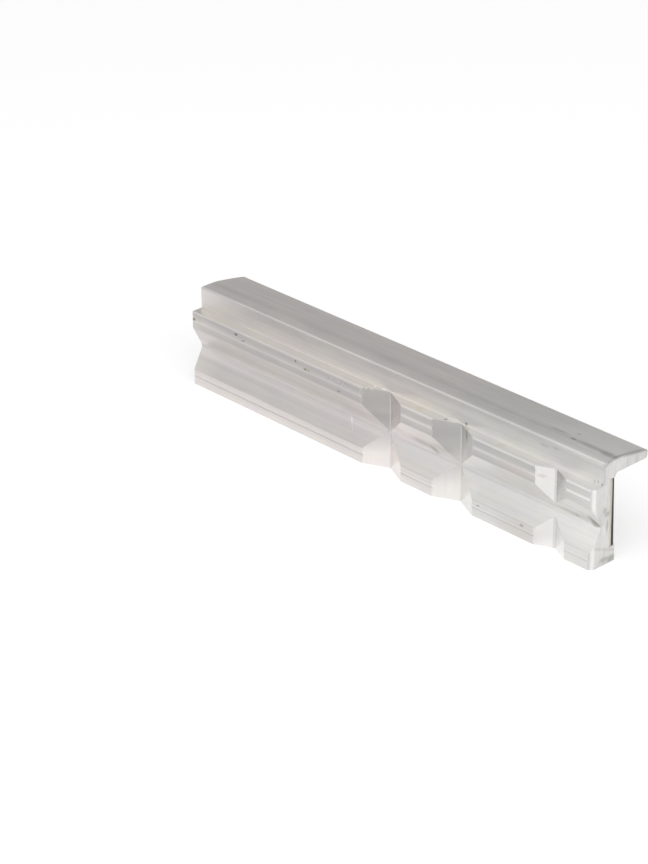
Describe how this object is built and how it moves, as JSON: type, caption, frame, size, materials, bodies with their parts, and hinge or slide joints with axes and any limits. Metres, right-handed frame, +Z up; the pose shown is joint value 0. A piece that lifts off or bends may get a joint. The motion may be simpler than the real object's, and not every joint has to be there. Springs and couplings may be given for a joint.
{
  "type": "magnetic soft jaw for a bench vise",
  "caption": "Extruded aluminium soft jaw for a bench vise: flange over the top, rubber magnet strip in the back, vee grooves along and across the clamping face.",
  "frame": {"origin": "middle of the bounding box, on the sole that the jaw stands on", "axes": "+X along the jaw towards its bevelled end, +Y towards the lip of the flange and the magnet, -Y out of the clamping face, +Z up"},
  "size_m": [0.15, 0.0198, 0.0288],
  "materials": {
    "extruded_aluminium": "satin, as extruded, with fine lines along its length and milled grooves",
    "tape": "matt cream foam tape",
    "magnet_rubber": "matt brownish black, slightly scuffed"
  },
  "bodies": {
    "root": {"jaw_body": "extruded_aluminium", "adhesive_tape": "tape", "magnet_strip": "magnet_rubber"}
  },
  "joints": []
}
